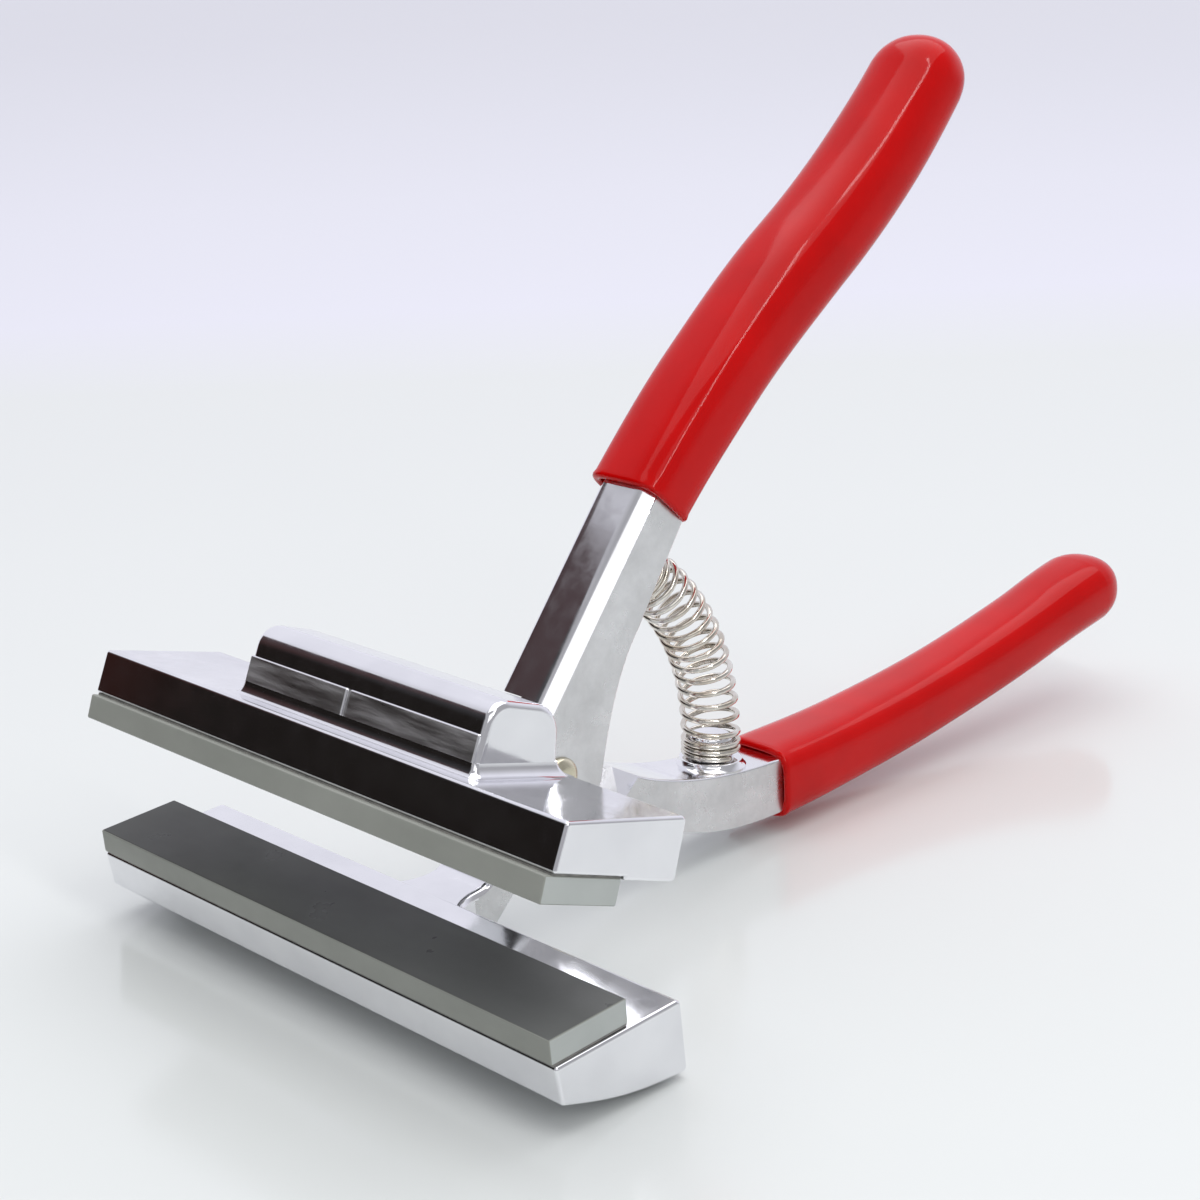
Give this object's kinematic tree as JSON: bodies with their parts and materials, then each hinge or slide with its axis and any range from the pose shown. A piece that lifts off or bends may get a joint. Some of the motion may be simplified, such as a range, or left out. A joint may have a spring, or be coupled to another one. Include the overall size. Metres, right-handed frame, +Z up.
{
  "type": "canvas stretching pliers",
  "caption": "Wide-jaw stretching pliers: two chromed levers on one pivot, rubber-faced jaws, red dipped grips and a return spring.",
  "frame": {"origin": "on the surface the tool stands on, under the middle of its outline, jaws open at rest", "axes": "+X along the jaws' width and the pivot axis, +Y from the jaws towards the handles, +Z up"},
  "size_m": [0.12, 0.2191, 0.1439],
  "materials": {
    "chrome": "bright mirror chrome over a cast lever, slightly satin on side faces",
    "pad_rubber": "matt grey-green moulded rubber",
    "adhesive": "dark thin bond line",
    "grip_vinyl": "glossy dipped vinyl",
    "pivot_plated": "plated fastener, faintly warm",
    "spring_steel": "bright nickel-plated wire"
  },
  "bodies": {
    "lower_jaw_side": {"lower_jaw_lever": "chrome", "lower_jaw_pad": "pad_rubber", "lower_pad_adhesive": "adhesive", "upper_handle_grip": "grip_vinyl", "pivot_screw": "pivot_plated", "pivot_washer": "pivot_plated", "pivot_nut": "pivot_plated", "return_spring": "spring_steel"},
    "upper_jaw_side": {"upper_jaw_lever": "chrome", "upper_jaw_pad": "pad_rubber", "upper_pad_adhesive": "adhesive", "lower_handle_grip": "grip_vinyl"}
  },
  "joints": [
    {"name": "jaw_pivot", "type": "hinge", "parent": "lower_jaw_side", "child": "upper_jaw_side", "pos_m": [0, -0.05782, 0.02848], "axis": [1, 0, 0], "range_deg": [0, 23.3], "stiffness_Nm_per_rad": 2.5, "springref_deg": -11.46, "deforming": ["return_spring"]}
  ]
}
